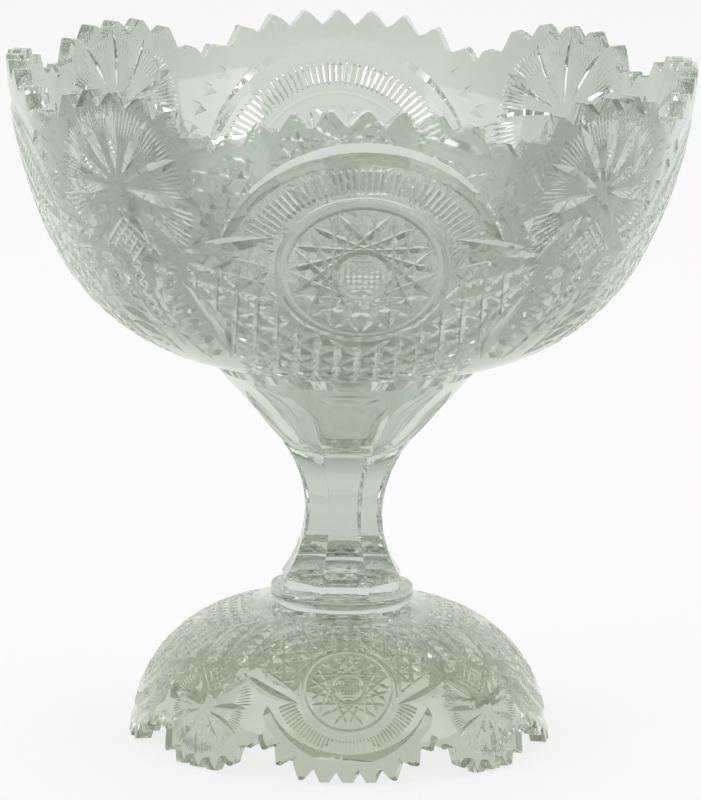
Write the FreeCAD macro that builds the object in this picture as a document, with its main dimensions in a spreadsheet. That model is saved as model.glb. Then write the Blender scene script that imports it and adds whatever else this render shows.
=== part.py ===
"""A cut-glass punch bowl of 12 in that rests on a tall stand of the same glass.

Two pieces, in millimetres, +Z up. The origin is on the table, on the axis that both pieces share.
A hobstar panel faces -Y, +X, +Y and -X on each piece, and a fan panel lies between each two of them.
"""
import FreeCAD, Part
import Sketcher
import os
from math import cos, degrees, radians, sin
from FreeCAD import Placement, Rotation, Vector

doc = FreeCAD.newDocument("PunchBowl")
sheet = doc.addObject("Spreadsheet::Sheet", "Sizes")

SIZES = [
    # the bowl
    ("rim_radius", 152.4, "outside of the bowl's rim"),
    ("bowl_height", 134.5, "from the bowl's ground base to the tips of its rim"),
    ("bowl_wall", 7.5, "thickness of the bowl's side"),
    ("bowl_floor", 9.0, "thickness of the glass under the bowl's hollow"),
    ("floor_radius", 62.0, "flat in the middle of the hollow"),
    ("base_radius", 55.5, "ground flat that the bowl rests on"),
    ("side_curve", 193.6, "radius of the nearly upright side"),
    ("turn_curve", 94.8, "radius of the turn from the side into the base"),
    ("turn_radius", 130.6, "outside of the bowl where that turn starts"),
    ("turn_height", 50.6, "height above the base where that turn starts"),
    ("turn_lean", 27.5, "lean of the side there, in degrees from upright"),
    # the stand
    ("stand_height", 172.5, "from the table to the seat"),
    ("seat_radius", 57.5, "outside of the stand's upper rim"),
    ("seat_band", 4.0, "height of the plain band round the upper rim"),
    ("cup_mouth", 48.5, "radius of the cup's hollow at the seat"),
    ("cup_depth", 38.0, "depth of that hollow"),
    ("cup_knee_radius", 22.0, "radius of the hollow above its rounded bottom"),
    ("cup_knee_height", 5.5, "height of that place above the bottom"),
    ("cup_bottom", 12.0, "radius of the hollow's flat bottom"),
    ("cup_fillet", 14.0, "rounding between the two"),
    ("cone_radius", 35.7, "outside of the neck where the cup's cone starts"),
    ("cone_share", 0.69798, "where the cup's cone starts, as a share of the way from the collar to the seat"),
    ("waist_radius", 18.4, "thinnest place of the stem"),
    ("waist_share", 0.29798, "where the thinnest place is, as a share of the same way"),
    ("upper_curve", 57.0, "radius of the stem's curve above the waist"),
    ("lower_curve", 50.0, "radius of the stem's curve below the waist"),
    ("stem_foot", 28.8, "outside of the stem where it meets the collar"),
    ("collar_top", 73.5, "height of the collar's upper edge"),
    ("collar_foot", 30.5, "radius of the collar's lower edge"),
    ("collar_bottom", 62.0, "height of the collar's lower edge"),
    ("collar_bulge", 8.5, "radius of the collar's rounded side"),
    ("shoulder_radius", 35.0, "where the foot's dome starts, beside the collar"),
    ("shoulder_height", 60.5, "height of the dome there"),
    ("dome_curve", 58.4, "radius of the foot's dome"),
    ("skirt_curve", 119.0, "radius of the foot's skirt"),
    ("skirt_radius", 91.2, "outside of the foot where the skirt starts"),
    ("skirt_height", 17.4, "height where the skirt starts"),
    ("skirt_lean", 15.0, "lean of the foot's side there, in degrees from upright"),
    ("foot_radius", 94.3, "outside of the foot on the table"),
    ("foot_wall", 7.0, "thickness of the foot's side"),
    ("crown_wall", 7.0, "thickness of the glass over the foot's hollow"),
    # the flutes of the cup and stem
    ("flute_count", 8, "flutes round the stem"),
    ("flute_share", 0.924, "distance of a flute's face from the axis, as a share of the radius"),
    ("flute_run", 4.5, "height in which a flute runs out below the plain band"),
    ("flute_bite", 3.5, "how far a flute runs down into the collar"),
    # the saw teeth of both rims
    ("bowl_hobstar_pitch", 5.9, "degrees from tooth to tooth on a hobstar scallop of the bowl"),
    ("foot_hobstar_pitch", 6.3, "degrees from tooth to tooth on a hobstar scallop of the foot"),
    ("fan_pitch", 5.85, "degrees from tooth to tooth on a fan scallop"),
    ("valley_angle", 25.65, "degrees from a hobstar's middle to the valley beside it"),
    ("valley_pitch", 4.3, "degrees between the two small teeth of a valley"),
    ("tip_flat", 1.6, "width of the blunt tip of a tooth"),
    ("notch_lean", 0.6, "how far a notch turns with the scallop's slope, 1 being square to it"),
    ("bowl_tooth", 8.2, "depth of a notch below the bowl's scallop"),
    ("bowl_hobstar_fall", 6.8, "drop from a hobstar's middle tooth to its last"),
    ("bowl_fan_fall", 5.0, "drop from a fan's middle tooth to its last"),
    ("bowl_valley", 15.0, "drop to the small teeth of a valley"),
    ("foot_tooth", 7.2, "depth of a notch above the foot's scallop"),
    ("foot_hobstar_fall", 8.0, "rise from a hobstar's middle tooth to its last"),
    ("foot_fan_fall", 5.0, "rise from a fan's middle tooth to its last"),
    ("foot_valley", 14.0, "rise to the small teeth of a valley"),
    ("spare", 4.0, "extra glass on a rim that the notches then take off"),
    # the ring cut round each hobstar
    ("bowl_ring", 36.0, "radius of the ring on the bowl"),
    ("bowl_ring_place", 24.0, "lean of the bowl's side at the ring's middle, in degrees"),
    ("bowl_ring_lean", 27.5, "downward tilt of the ring's axis, in degrees"),
    ("bowl_ring_recess", 6.2, "depth of the ring's groove under the glass at its middle"),
    ("foot_ring", 21.5, "radius of the ring on the foot"),
    ("foot_ring_place", 41.0, "upward tilt of the dome and of the ring's axis, in degrees"),
    ("foot_ring_recess", 4.9, "depth of the ring's groove under the glass at its middle"),
    ("ring_slope", 1.0, "half width of a ring's groove for each millimetre of its depth"),
    # the broad groove that arches over each ring
    ("bowl_arch", 60.8, "radius of the arch on the bowl"),
    ("bowl_arch_place", 25.9, "lean of the bowl's side on the arch's axis, in degrees"),
    ("bowl_arch_lean", 29.5, "downward tilt of that axis, in degrees"),
    ("bowl_arch_recess", 16.9, "depth of the arch's keel under the glass on that axis"),
    ("bowl_arch_reach", 6.5, "half width of the arch's cutter"),
    ("foot_arch", 35.6, "radius of the arch on the foot"),
    ("foot_arch_place", 43.5, "upward tilt of the dome on the arch's axis, in degrees"),
    ("foot_arch_lean", 33.7, "upward tilt of that axis, in degrees"),
    ("foot_arch_recess", 6.7, "depth of the arch's keel under the glass on that axis"),
    ("foot_arch_reach", 3.9, "half width of the arch's cutter"),
    ("arch_sweep", 150.0, "degrees of its circle that an arch runs through"),
    ("arch_outer_rise", 0.13, "how far an arch's outer side rises along the axis for each millimetre out"),
    ("arch_inner_rise", 1.2, "how far its inner side rises for each millimetre in"),
    # the straight mitre cuts: leaves beside each ring, and the rays of each fan on the bowl
    ("mitre_slope", 1.3, "half width of a mitre cut for each millimetre of its depth"),
    ("mitre_sink", 0.5, "depth of a mitre's keel at its two ends"),
    ("fan_place", 13.8, "lean of the bowl's side at a fan's middle, in degrees"),
    ("ray_start", 5.0, "how far from that middle a ray starts"),
    ("ray_end", 38.0, "how far from that middle it ends"),
    ("ray_angle", 33.3, "degrees from ray to ray"),
]

for row, (name, size, meaning) in enumerate(SIZES, start=1):
    sheet.set(f"A{row}", meaning)
    sheet.set(f"B{row}", str(size))
    sheet.setAlias(f"B{row}", name)
doc.recompute()

PANELS = 4
FAN_TURN = 180 / PANELS
HOBSTAR_TEETH = 3
FAN_TEETH = 2
FAN_RAYS = 7
# ends of the mitre cuts beside a ring: the skin's lean, and the angle from the hobstar's middle
LEAVES = {
    "bowl": [((18.9, 17.2), (22.1, 34.8)), ((28.5, 34.3), (50.0, 31.8))],
    "foot": [((33.5, 16.8), (43.0, 35.0))],
}
STEM_LENGTH = "(Sizes.stand_height - Sizes.collar_top)"
WAIST_HEIGHT = f"(Sizes.collar_top + Sizes.waist_share * {STEM_LENGTH})"
CONE_HEIGHT = f"(Sizes.collar_top + Sizes.cone_share * {STEM_LENGTH})"


def value(formula):
    """The number that a formula on the sheet's cells gives."""
    result = sheet.evalExpression(formula)
    return float(getattr(result, "Value", result))


def origin_feature(body, role):
    """One of a body's own origin planes or axes."""
    return next(item for item in body.Origin.OriginFeatures if item.Role == role)


def upright_sketch(body, name, turn=None):
    """A sketch on the body's XZ plane, or on that plane turned about Z by a formula in degrees."""
    sketch = body.newObject("Sketcher::SketchObject", name)
    sketch.AttachmentSupport = [(origin_feature(body, "XZ_Plane"), "")]
    sketch.MapMode = "FlatFace"
    if turn:
        sketch.AttachmentOffset = Placement(Vector(), Rotation(Vector(0, 1, 0), value(turn)))
        sketch.setExpression("AttachmentOffset.Rotation.Angle", turn)
    return sketch


def arc_between(start, end, radius, side):
    """The short arc from start to end, with its centre to the left (1) or right (-1) of the chord."""
    half = (end - start) / 2
    to_centre = Vector(-half.y, half.x, 0).normalize() * side
    centre = start + half + to_centre * (radius ** 2 - half.Length ** 2) ** 0.5
    return Part.Arc(start, centre - to_centre * radius, end)


def place_point(sketch, edge, end, place):
    """Hold one end of an edge at a place given as two formulas."""
    for kind, formula in zip(("DistanceX", "DistanceY"), place):
        constraint = sketch.addConstraint(Sketcher.Constraint(kind, -1, 1, edge, end, value(formula)))
        if "Sizes" in formula:
            sketch.setExpression(f"Constraints[{constraint}]", formula)


def draw(sketch, corners, arcs=None):
    """A closed outline through corners given as formulas.

    arcs maps the number of an edge to the formula of its radius and the side of its centre.
    """
    arcs = arcs or {}
    points = [Vector(value(across), value(up), 0) for across, up in corners]
    first_ends = []
    for number, start in enumerate(points):
        end = points[(number + 1) % len(points)]
        if number in arcs:
            radius, side = arcs[number]
            sketch.addGeometry(arc_between(start, end, value(radius), side), False)
        else:
            sketch.addGeometry(Part.LineSegment(start, end), False)
        starts_there = (sketch.getPoint(number, 1) - start).Length < 1e-6
        first_ends.append(1 if starts_there else 2)
    for number, begin in enumerate(first_ends):
        after = (number + 1) % len(points)
        sketch.addConstraint(Sketcher.Constraint("Coincident", number, 3 - begin, after, first_ends[after]))
        place_point(sketch, number, begin, corners[number])
    for number, (radius, side) in arcs.items():
        constraint = sketch.addConstraint(Sketcher.Constraint("Radius", number, value(radius)))
        sketch.setExpression(f"Constraints[{constraint}]", radius)


def draw_axis(sketch, start, end):
    """A construction line between two points given as formulas; its place in the sketch's geometry."""
    points = [Vector(value(across), value(up), 0) for across, up in (start, end)]
    number = sketch.addGeometry(Part.LineSegment(*points), True)
    place_point(sketch, number, 1, start)
    place_point(sketch, number, 2, end)


def revolve(body, kind, name, sketch, own_axis=False, sweep=None):
    """A Revolution or Groove of a sketch, round the body's Z axis or the sketch's construction line.

    sweep is the formula of an angle that the sketch's plane halves; without it the turn is whole.
    """
    feature = body.newObject(f"PartDesign::{kind}", name)
    feature.Profile = sketch
    feature.ReferenceAxis = (sketch, ["Axis0"]) if own_axis else (origin_feature(body, "Z_Axis"), [""])
    feature.Angle = 360
    if sweep:
        feature.Midplane = True
        feature.setExpression("Angle", sweep)
    doc.recompute()
    return feature


def polar(body, name, originals, count):
    """The originals repeated round the body's Z axis."""
    pattern = body.newObject("PartDesign::PolarPattern", name)
    pattern.Originals = originals
    pattern.Axis = (origin_feature(body, "Z_Axis"), [""])
    pattern.Angle = 360
    pattern.Occurrences = count
    body.Tip = pattern
    doc.recompute()


def tooth_tips(piece):
    """Angle and drop of each tooth's tip, from a hobstar panel's middle to the next fan's middle."""
    tips = []
    for step in range(HOBSTAR_TEETH + 1):
        share = (step / HOBSTAR_TEETH) ** 3
        tips.append((f"{step} * Sizes.{piece}_hobstar_pitch", f"{share} * Sizes.{piece}_hobstar_fall"))
    for side in (-0.5, 0.5):
        tips.append((f"Sizes.valley_angle + {side} * Sizes.valley_pitch", f"1 * Sizes.{piece}_valley"))
    for step in range(FAN_TEETH, -1, -1):
        share = (step / FAN_TEETH) ** 3
        tips.append((f"{FAN_TURN} - {step} * Sizes.fan_pitch", f"{share} * Sizes.{piece}_fan_fall"))
    return tips


def cut_teeth(body, piece, rim_radius, height_of):
    """Sixteen notches in each quarter of a rim, each leaning with the slope between its two tips.

    height_of turns a drop's formula into that of a height, downwards or upwards from the rim.
    """
    tips = tooth_tips(piece)
    past_rim = height_of("0 - Sizes.spare")
    notches = []
    for number, ((left, left_drop), (right, right_drop)) in enumerate(zip(tips, tips[1:])):
        half = f"({rim_radius} + Sizes.spare) * tan((({right}) - ({left})) / 2 * 1 deg)"
        flat = f"({half} - Sizes.tip_flat / 2)"
        fall = f"(({right_drop}) - ({left_drop}))"
        slant = f"sqrt((2 * {half})^2 + {fall}^2)"
        bottom = f"(({left_drop}) + ({right_drop})) / 2 + Sizes.{piece}_tooth * 2 * {half} / {slant}"
        for side, word in ((1, "right"), (-1, "left")):
            low, high = (left_drop, right_drop)[::side]
            middle = f"{side} * (({left}) + ({right})) / 2"
            sketch = upright_sketch(body, f"{piece}_notch_{number}_{word}", middle)
            draw(sketch, [
                (f"0 - {half}", past_rim),
                (f"0 - {half}", height_of(low)),
                (f"0 - {flat}", height_of(low)),
                (f"{-side} * Sizes.notch_lean * Sizes.{piece}_tooth * {fall} / {slant}", height_of(bottom)),
                (flat, height_of(high)),
                (half, height_of(high)),
                (half, past_rim),
            ])
            pocket = body.newObject("PartDesign::Pocket", f"{sketch.Name}_cut")
            pocket.Profile = sketch
            pocket.setExpression("Length", f"{rim_radius} + Sizes.spare")
            notches.append(pocket)
    doc.recompute()
    polar(body, f"{piece}_teeth", notches, PANELS)


def cut_rings(body, piece, middle, lean):
    """A V groove round each hobstar, turned about the panel's own axis, which leans down by a formula."""
    across, up = middle
    outward = (f"cos(({lean}) * 1 deg)", f"0 - sin(({lean}) * 1 deg)")
    ring = f"Sizes.{piece}_ring"
    recess = f"Sizes.{piece}_ring_recess"
    half = f"(({recess} + Sizes.spare) * Sizes.ring_slope)"

    def place(out, sideways):
        return (f"{across} + ({out}) * {outward[0]} - ({sideways}) * ({outward[1]})",
                f"{up} + ({out}) * ({outward[1]}) + ({sideways}) * {outward[0]}")

    sketch = upright_sketch(body, f"{piece}_ring_section")
    draw(sketch, [
        place(f"0 - {recess}", ring),
        place("Sizes.spare", f"{ring} - {half}"),
        place("Sizes.spare", f"{ring} + {half}"),
    ])
    draw_axis(sketch, place(f"0 - {recess}", "0"), place("Sizes.spare", "0"))
    groove = revolve(body, "Groove", f"{piece}_ring_cut", sketch, own_axis=True)
    polar(body, f"{piece}_rings", [groove], PANELS)


def skin_place(piece, lean, around):
    """Formulas of a place on the outside of the bowl or the foot, where it leans by so many degrees."""
    if piece == "bowl":
        across, up, joint, rise = "Sizes.turn_radius", "Sizes.turn_height", "Sizes.turn_lean", "0 - "
        curve = "Sizes.side_curve" if lean < value(joint) else "Sizes.turn_curve"
    else:
        across, up, joint, rise = "Sizes.skirt_radius", "Sizes.skirt_height", "Sizes.skirt_lean", ""
        curve = "Sizes.dome_curve" if lean > value(joint) else "Sizes.skirt_curve"
    out = f"({across} + {curve} * (cos({lean} * 1 deg) - cos({joint} * 1 deg)))"
    return (f"{out} * cos({around} * 1 deg)", f"{out} * sin({around} * 1 deg)",
            f"{up} + ({rise}1) * {curve} * (sin({lean} * 1 deg) - sin({joint} * 1 deg))")


def cut_mitre(body, piece, name, start, end):
    """A straight V cut whose keel runs between two places of the skin, so it is deepest midway."""
    places = [skin_place(piece, *place) for place in (start, end)]
    first, last = (Vector(*[value(formula) for formula in place]) for place in places)
    along = (last - first).normalize()
    tilt = radians(start[0] + end[0]) / 2 * (-1 if piece == "bowl" else 1)
    turn = radians(start[1] + end[1]) / 2
    out = Vector(cos(tilt) * cos(turn), cos(tilt) * sin(turn), sin(tilt))
    out = (out - along * out.dot(along)).normalize()
    cut = body.newObject("PartDesign::SubtractiveWedge", name)
    cut.Placement = Placement(first - out * value("Sizes.mitre_sink"),
                              Rotation(along.cross(out), out * -1, along, "XYZ"))
    for corner, formula, lift in zip("xyz", places[0], out):
        cut.setExpression(f"Placement.Base.{corner}", f"{formula} - ({lift}) * Sizes.mitre_sink")
    height = "(Sizes.mitre_sink + 2 * Sizes.spare)"
    for size, formula in (("Ymin", f"0 - {height}"), ("Xmin", f"0 - Sizes.mitre_slope * {height}"),
                          ("Xmax", f"Sizes.mitre_slope * {height}")):
        setattr(cut, size, value(formula))
        cut.setExpression(size, formula)
    for size in ("Ymax", "X2min", "X2max", "Zmin", "Z2min"):
        setattr(cut, size, 0)
    cut.Zmax = cut.Z2max = (last - first).Length
    return cut


def cut_mitres(body, piece, ends):
    """A mitre cut between the two places of each pair, and the same again in every panel."""
    cuts = [cut_mitre(body, piece, f"{piece}_mitre_{number}", *pair) for number, pair in enumerate(ends)]
    doc.recompute()
    polar(body, f"{piece}_mitres", cuts, PANELS)


def leaf_ends(piece):
    """Pairs of places for the leaves on both sides of the ring in the front panel."""
    return [[(lean, side * off - 90) for lean, off in ends] for ends in LEAVES[piece] for side in (-1, 1)]


def ray_ends():
    """Pairs of places for the rays that spread upward from the middle of a fan on the bowl."""
    middle = value("Sizes.fan_place")
    across = value(skin_place("bowl", middle, 0)[0])
    ends = []
    for number in range(FAN_RAYS):
        angle = radians(90 + (number - (FAN_RAYS - 1) / 2) * value("Sizes.ray_angle"))
        ends.append([(middle - degrees(value(reach) * sin(angle) / value("Sizes.side_curve")),
                      degrees(value(reach) * cos(angle) / across) - FAN_TURN)
                     for reach in ("Sizes.ray_start", "Sizes.ray_end")])
    return ends


def cut_arches(body, piece, middle, lean, side):
    """The broad groove over each ring, above it (1) or below it (-1), turned about an axis of its own."""
    across, up = middle
    outward = (f"cos(({lean}) * 1 deg)", f"0 - sin(({lean}) * 1 deg)")
    arch = f"Sizes.{piece}_arch"
    keel = f"0 - Sizes.{piece}_arch_recess"
    reach = f"Sizes.{piece}_arch_reach"

    def place(out, sideways):
        return (f"{across} + ({out}) * {outward[0]} - ({sideways}) * ({outward[1]})",
                f"{up} + ({out}) * ({outward[1]}) + ({sideways}) * {outward[0]}")

    sketch = upright_sketch(body, f"{piece}_arch_section")
    draw(sketch, [
        place(keel, f"{side} * {arch}"),
        place(f"{keel} + {reach} * Sizes.arch_inner_rise", f"{side} * ({arch} - {reach})"),
        place(f"{keel} + {reach} * Sizes.arch_outer_rise", f"{side} * ({arch} + {reach})"),
    ])
    draw_axis(sketch, place(keel, "0"), place("Sizes.spare", "0"))
    groove = revolve(body, "Groove", f"{piece}_arch_cut", sketch, own_axis=True, sweep="Sizes.arch_sweep")
    polar(body, f"{piece}_arches", [groove], PANELS)


def make_bowl():
    """A deep round bowl with a ground base and a scalloped rim of saw teeth."""
    body = doc.addObject("PartDesign::Body", "bowl")
    top = "Sizes.bowl_height + Sizes.spare"
    inner_turn = ("Sizes.turn_radius - Sizes.bowl_wall * cos(Sizes.turn_lean * 1 deg)",
                  "Sizes.turn_height + Sizes.bowl_wall * sin(Sizes.turn_lean * 1 deg)")
    wall = upright_sketch(body, "bowl_section")
    draw(wall, [
        ("0", "0"),
        ("Sizes.base_radius", "0"),
        ("Sizes.turn_radius", "Sizes.turn_height"),
        ("Sizes.rim_radius", "Sizes.bowl_height"),
        ("Sizes.rim_radius", top),
        ("Sizes.rim_radius - Sizes.bowl_wall", top),
        ("Sizes.rim_radius - Sizes.bowl_wall", "Sizes.bowl_height"),
        inner_turn,
        ("Sizes.floor_radius", "Sizes.bowl_floor"),
        ("0", "Sizes.bowl_floor"),
    ], {
        1: ("Sizes.turn_curve", 1),
        2: ("Sizes.side_curve", 1),
        6: ("Sizes.side_curve - Sizes.bowl_wall", -1),
        7: ("Sizes.turn_curve - Sizes.bowl_wall", -1),
    })
    revolve(body, "Revolution", "bowl_blank", wall)
    lean = "Sizes.bowl_ring_place * 1 deg"
    turn = "Sizes.turn_lean * 1 deg"
    cut_rings(body, "bowl", (f"Sizes.turn_radius + Sizes.side_curve * (cos({lean}) - cos({turn}))",
                             f"Sizes.turn_height + Sizes.side_curve * (sin({turn}) - sin({lean}))"),
              "Sizes.bowl_ring_lean")
    arch = "Sizes.bowl_arch_place * 1 deg"
    cut_arches(body, "bowl", (f"Sizes.turn_radius + Sizes.side_curve * (cos({arch}) - cos({turn}))",
                              f"Sizes.turn_height + Sizes.side_curve * (sin({turn}) - sin({arch}))"),
               "Sizes.bowl_arch_lean", 1)
    cut_mitres(body, "bowl", leaf_ends("bowl") + ray_ends())
    cut_teeth(body, "bowl", "Sizes.rim_radius", lambda drop: f"Sizes.bowl_height - ({drop})")
    body.setExpression("Placement.Base.z", "Sizes.stand_height")
    return body


def cut_flutes(body):
    """Eight flat flutes down the cup and stem, rounded at the top and pointed in the collar."""
    share = "Sizes.flute_share"
    cone_rise = f"(Sizes.stand_height - Sizes.seat_band - {CONE_HEIGHT})"
    slope = f"(Sizes.seat_radius - Sizes.cone_radius) / {cone_rise}"
    run_out = "(Sizes.stand_height - Sizes.seat_band - Sizes.flute_run)"
    cone_end = f"{share} * (Sizes.cone_radius + {slope} * ({run_out} - {CONE_HEIGHT}))"
    outside = "Sizes.seat_radius + Sizes.spare"
    sketch = upright_sketch(body, "flute_section")
    draw(sketch, [
        (f"{share} * Sizes.stem_foot", "Sizes.collar_top"),
        (f"{share} * Sizes.waist_radius", WAIST_HEIGHT),
        (f"{share} * Sizes.cone_radius", CONE_HEIGHT),
        (cone_end, run_out),
        (outside, "Sizes.stand_height - Sizes.seat_band"),
        (outside, "Sizes.collar_top - Sizes.flute_bite"),
        ("Sizes.collar_foot + Sizes.spare", "Sizes.collar_top - Sizes.flute_bite"),
    ], {
        0: ("Sizes.lower_curve", -1),
        1: ("Sizes.upper_curve", -1),
    })
    pocket = body.newObject("PartDesign::Pocket", "flute_cut")
    pocket.Profile = sketch
    pocket.Midplane = True
    pocket.setExpression("Length", "Sizes.seat_radius")
    doc.recompute()
    polar(body, "flutes", [pocket], int(value("Sizes.flute_count")))


def make_stand():
    """A hollow flared cup, a solid fluted stem, a collar and a hollow domed foot, in one piece."""
    body = doc.addObject("PartDesign::Body", "stand")
    outside = upright_sketch(body, "stand_section")
    draw(outside, [
        ("0", "0 - Sizes.spare"),
        ("Sizes.foot_radius", "0 - Sizes.spare"),
        ("Sizes.foot_radius", "0"),
        ("Sizes.skirt_radius", "Sizes.skirt_height"),
        ("Sizes.shoulder_radius", "Sizes.shoulder_height"),
        ("Sizes.collar_foot", "Sizes.collar_bottom"),
        ("Sizes.stem_foot", "Sizes.collar_top"),
        ("Sizes.waist_radius", WAIST_HEIGHT),
        ("Sizes.cone_radius", CONE_HEIGHT),
        ("Sizes.seat_radius", "Sizes.stand_height - Sizes.seat_band"),
        ("Sizes.seat_radius", "Sizes.stand_height"),
        ("0", "Sizes.stand_height"),
    ], {
        2: ("Sizes.skirt_curve", 1),
        3: ("Sizes.dome_curve", 1),
        5: ("Sizes.collar_bulge", 1),
        6: ("Sizes.lower_curve", -1),
        7: ("Sizes.upper_curve", -1),
    })
    revolve(body, "Revolution", "stand_blank", outside)
    bottom = "(Sizes.stand_height - Sizes.cup_depth)"
    cup = upright_sketch(body, "cup_section")
    draw(cup, [
        ("0", bottom),
        ("Sizes.cup_bottom", bottom),
        ("Sizes.cup_knee_radius", f"{bottom} + Sizes.cup_knee_height"),
        ("Sizes.cup_mouth", "Sizes.stand_height"),
        ("Sizes.cup_mouth", "Sizes.stand_height + Sizes.spare"),
        ("0", "Sizes.stand_height + Sizes.spare"),
    ], {1: ("Sizes.cup_fillet", 1)})
    revolve(body, "Groove", "cup_hollow", cup)
    crown = "Sizes.shoulder_height - Sizes.crown_wall"
    dome = upright_sketch(body, "foot_section")
    draw(dome, [
        ("0", "0 - 2 * Sizes.spare"),
        ("Sizes.foot_radius - Sizes.foot_wall", "0 - 2 * Sizes.spare"),
        ("Sizes.foot_radius - Sizes.foot_wall", "0"),
        ("Sizes.skirt_radius - Sizes.foot_wall", "Sizes.skirt_height"),
        ("Sizes.shoulder_radius", crown),
        ("0", crown),
    ], {
        2: ("Sizes.skirt_curve - Sizes.foot_wall", 1),
        3: ("Sizes.dome_curve - Sizes.foot_wall", 1),
    })
    revolve(body, "Groove", "foot_hollow", dome)
    cut_flutes(body)
    tilt = "Sizes.foot_ring_place * 1 deg"
    skirt = "Sizes.skirt_lean * 1 deg"
    cut_rings(body, "foot", (f"Sizes.skirt_radius + Sizes.dome_curve * (cos({tilt}) - cos({skirt}))",
                             f"Sizes.skirt_height + Sizes.dome_curve * (sin({tilt}) - sin({skirt}))"),
              "0 - Sizes.foot_ring_place")
    arch = "Sizes.foot_arch_place * 1 deg"
    cut_arches(body, "foot", (f"Sizes.skirt_radius + Sizes.dome_curve * (cos({arch}) - cos({skirt}))",
                              f"Sizes.skirt_height + Sizes.dome_curve * (sin({arch}) - sin({skirt}))"),
               "0 - Sizes.foot_arch_lean", -1)
    cut_mitres(body, "foot", leaf_ends("foot"))
    cut_teeth(body, "foot", "Sizes.foot_radius", lambda rise: f"{rise}")
    return body


def write(pieces):
    """Refuse a failed document, then write each piece as its own STEP file."""
    doc.recompute()
    for item in doc.Objects:
        if "Invalid" in item.State or "Error" in item.State:
            raise RuntimeError(f"{item.Name} failed: {item.State}")
    os.makedirs("parts", exist_ok=True)
    for piece in pieces:
        shape = piece.Shape
        if shape.isNull() or not shape.isValid() or len(shape.Solids) != 1:
            raise RuntimeError(f"{piece.Label} is not one valid solid")
        box = shape.BoundBox
        print(piece.Label, round(shape.Volume / 1000), "cm3", [round(size, 2) for size in (
            box.XMin, box.YMin, box.ZMin, box.XMax, box.YMax, box.ZMax)], len(shape.Faces), "faces")
        shape.exportStep(f"parts/{piece.Label}.step")


write([make_bowl(), make_stand()])
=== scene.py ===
"""The looks of a cut-glass punch bowl that rests on a tall stand of the same clear glass.

Shapes are worked out in millimetres in the frame's directions, +Z up with the front facing -Y,
and turned into metres at the end. Each piece starts as a plain turned blank, and every cut
in it is a wheel's groove that is taken off the blank.
"""
import bmesh
import bpy
from math import acos, asin, atan2, ceil, cos, degrees, hypot, pi, radians, sin, sqrt, tan
from mathutils import Matrix, Vector


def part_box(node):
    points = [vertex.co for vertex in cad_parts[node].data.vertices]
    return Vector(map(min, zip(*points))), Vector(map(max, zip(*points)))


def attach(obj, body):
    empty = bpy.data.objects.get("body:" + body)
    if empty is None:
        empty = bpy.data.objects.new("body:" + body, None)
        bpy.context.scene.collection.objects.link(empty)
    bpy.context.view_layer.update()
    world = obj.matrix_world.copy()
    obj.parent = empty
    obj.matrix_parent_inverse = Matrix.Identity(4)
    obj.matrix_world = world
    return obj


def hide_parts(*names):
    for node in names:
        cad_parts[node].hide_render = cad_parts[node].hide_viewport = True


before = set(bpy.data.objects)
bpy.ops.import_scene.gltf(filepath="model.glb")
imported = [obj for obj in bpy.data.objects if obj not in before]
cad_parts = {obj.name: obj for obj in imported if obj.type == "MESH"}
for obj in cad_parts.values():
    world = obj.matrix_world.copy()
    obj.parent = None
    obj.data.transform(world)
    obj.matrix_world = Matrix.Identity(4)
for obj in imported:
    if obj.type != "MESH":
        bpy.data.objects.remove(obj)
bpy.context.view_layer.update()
MM = 0.001
bowl_low, bowl_high = (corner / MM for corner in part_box("bowl"))
_, stand_high = (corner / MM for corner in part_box("stand"))

# ------------------------------------------------------------------ driving sizes
RIM_RADIUS = bowl_high.x
RIM_TOP = bowl_high.z
SEAT = bowl_low.z        # where the bowl's base rests on the stand's lip
FOOT_RADIUS = stand_high.x

PANELS = 4               # hobstars round each piece, with a fan between each two
FRONT = -90              # angle round the axis of the first hobstar
BESIDE = FRONT + 180 / PANELS    # angle of the first fan
ROUND = 144              # flats round a blank
STEP = 7.0               # length of a flat along a blank's outline and along a groove
TURN = 9.0               # most that an outline's arc bends from flat to flat
NEAR = 0.01              # how far past a bend in lean its second arc starts
CLEAR = 1.0              # how far a groove's cutter stands out of the glass
SHARP = 10.5             # facets that meet at less than this angle are shaded as one curve

# Outside, the bowl is a low arc that runs into a high one at the bend, where the wall has this lean.
BOWL_BEND = (130.6, SEAT + 50.6)
BOWL_LEAN = -27.5
BOWL_LOW_ARC = 94.8
BOWL_HIGH_ARC = 193.6
BOWL_WALL = 7.5
BOWL_FLOOR = 9.0
BASE_RADIUS = 55.5
FLOOR_RADIUS = 62.0
BOWL_NOTCH = 6.9

# Places on the stand are pairs of distance from the axis and height, from the cup down.
LIP_RADIUS = 57.5
LIP_HEIGHT = 4
CUP_MOUTH = 48.5
CUP_FLOOR = (12, 134.5)
CUP_CORNER = (22, 140)
CUP_ARC = 14
CONE_TOP = (57.5, 168.5)
CONE_FOOT = (35.7, 142.6)
CONE_ARC = 57
WAIST = (18.4, 103)
STEM_ARC = 50
STEM_FOOT = (28.8, 73.5)
COLLAR_ARC = 8.5
COLLAR_FOOT = (30.5, 62)

# Outside, the foot is two arcs too, from the shoulder under the collar down to the toothed rim.
SHOULDER_RADIUS = 35.0
FOOT_HIGH_ARC = 58.4
FOOT_BEND = (91.2, 17.4)
FOOT_LEAN = 15.0
FOOT_LOW_ARC = 119.0
FOOT_WALL = 7.0
FOOT_NOTCH = 5.9
FOOT_PATTERN = 0.585     # size of the foot's pattern next to the bowl's

# Sizes on the bowl's sheets of pattern.
RING = 34.8              # radius of the ring round a hobstar
CANE_START = 37.5        # how near to the hobstar's middle the cane comes
FIELD_REACH = 110        # how far a field's lines run each way before they are trimmed


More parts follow.
